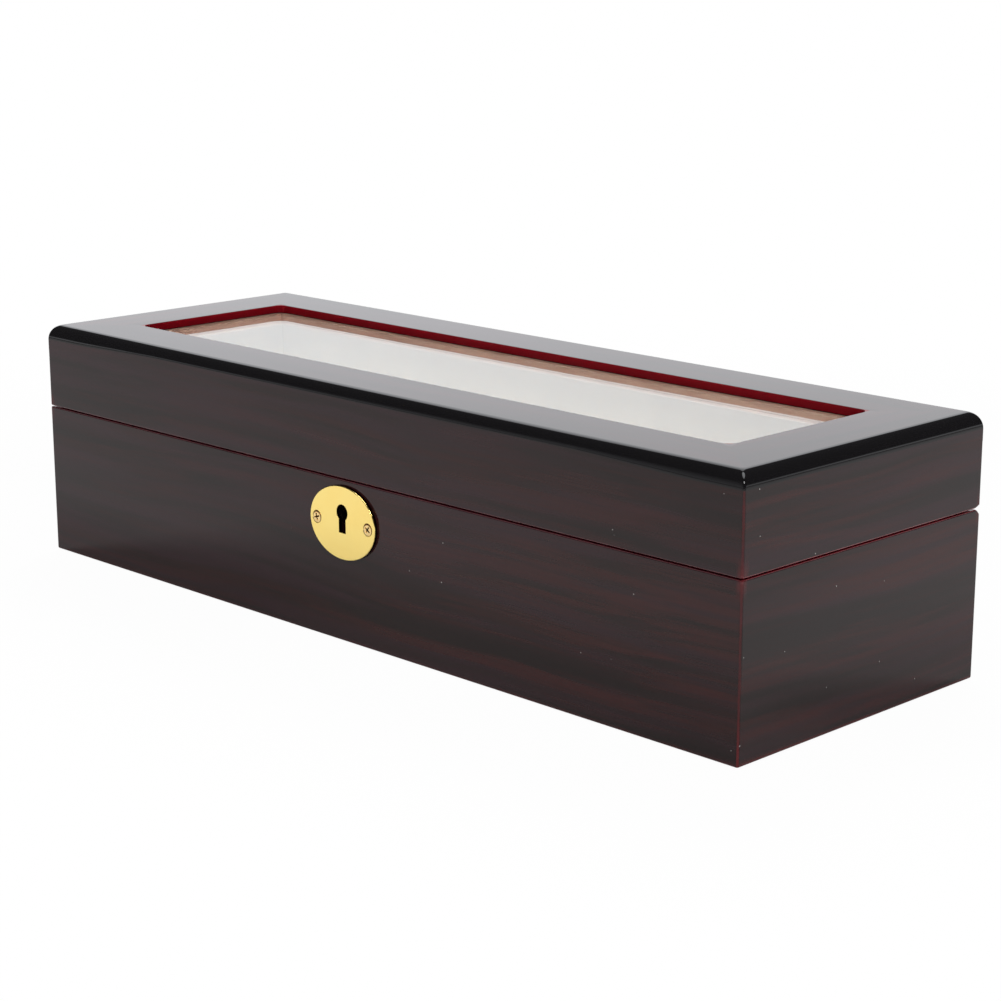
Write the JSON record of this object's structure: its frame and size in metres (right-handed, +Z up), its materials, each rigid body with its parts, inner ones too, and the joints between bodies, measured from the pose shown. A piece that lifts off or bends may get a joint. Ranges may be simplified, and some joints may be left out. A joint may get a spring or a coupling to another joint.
{
  "type": "watch display box",
  "caption": "Long lacquered wooden watch display box with a glass-topped hinged lid, lined places with removable cushions and a key lock behind an oval brass escutcheon.",
  "frame": {"origin": "centre of the overall box's footprint, on the surface that it stands on", "axes": "+X along the length, to the right seen from the front; -Y to the front with the lock; +Z up"},
  "size_m": [0.325, 0.1132, 0.084],
  "materials": {
    "lacquered_wood": "very dark rosewood veneer under gloss lacquer, red undercoat at the arrises",
    "panel_wood": "plain fibreboard",
    "glass": "clear float glass",
    "brass": "polished, lacquered",
    "steel": "plain",
    "velvet": "beige short-pile velvet on board",
    "cushion_velvet": "beige short-pile velvet over foam",
    "felt": "black felt"
  },
  "bodies": {
    "base": {"base_back_wall": "lacquered_wood", "base_bottom_panel": "panel_wood", "base_felt": "felt", "base_front_wall": "lacquered_wood", "base_hinge_screws": "brass", "base_left_wall": "lacquered_wood", "base_right_wall": "lacquered_wood", "bolt_spring": "steel", "divider_1": "velvet", "divider_2": "velvet", "divider_3": "velvet", "divider_4": "velvet", "divider_5": "velvet", "escutcheon": "brass", "escutcheon_screws": "brass", "floor_lining": "velvet", "hinge_left_base_leaf": "brass", "hinge_left_pin": "brass", "hinge_right_base_leaf": "brass", "hinge_right_pin": "brass", "lining_back": "velvet", "lining_front": "velvet", "lining_left": "velvet", "lining_right": "velvet", "lock_cap": "brass", "lock_case": "brass", "lock_rivets": "steel", "lock_screws": "brass"},
    "lid": {"lid_front_rail": "lacquered_wood", "lid_back_rail": "lacquered_wood", "lid_left_rail": "lacquered_wood", "lid_right_rail": "lacquered_wood", "lid_top_frame": "lacquered_wood", "glass_pane": "glass", "glass_beads": "velvet", "lid_lining_front": "velvet", "lid_lining_back": "velvet", "lid_lining_left": "velvet", "lid_lining_right": "velvet", "lid_lining_top": "velvet", "strike_plate": "brass", "strike_screws": "brass", "hinge_left_lid_leaf": "brass", "hinge_right_lid_leaf": "brass", "lid_hinge_screws": "brass"},
    "bolt": {"lock_bolt": "steel"},
    "cushion_1": {"cushion_1": "cushion_velvet"},
    "cushion_2": {"cushion_2": "cushion_velvet"},
    "cushion_3": {"cushion_3": "cushion_velvet"},
    "cushion_4": {"cushion_4": "cushion_velvet"},
    "cushion_5": {"cushion_5": "cushion_velvet"},
    "cushion_6": {"cushion_6": "cushion_velvet"}
  },
  "joints": [
    {"name": "lid_hinge", "type": "hinge", "parent": "base", "child": "lid", "pos_m": [0, 0.0548, 0.0543], "axis": [-1, 0, 0], "range_deg": [0, 94]},
    {"name": "bolt_slide", "type": "slide", "parent": "base", "child": "bolt", "axis": [1, 0, 0], "range_m": [0, 0.0045]},
    {"name": "cushion_1_lift", "type": "slide", "parent": "base", "child": "cushion_1", "axis": [0, 0, 1], "range_m": [0, 0.028]},
    {"name": "cushion_2_lift", "type": "slide", "parent": "base", "child": "cushion_2", "axis": [0, 0, 1], "range_m": [0, 0.028]},
    {"name": "cushion_3_lift", "type": "slide", "parent": "base", "child": "cushion_3", "axis": [0, 0, 1], "range_m": [0, 0.028]},
    {"name": "cushion_4_lift", "type": "slide", "parent": "base", "child": "cushion_4", "axis": [0, 0, 1], "range_m": [0, 0.028]},
    {"name": "cushion_5_lift", "type": "slide", "parent": "base", "child": "cushion_5", "axis": [0, 0, 1], "range_m": [0, 0.028]},
    {"name": "cushion_6_lift", "type": "slide", "parent": "base", "child": "cushion_6", "axis": [0, 0, 1], "range_m": [0, 0.028]}
  ]
}
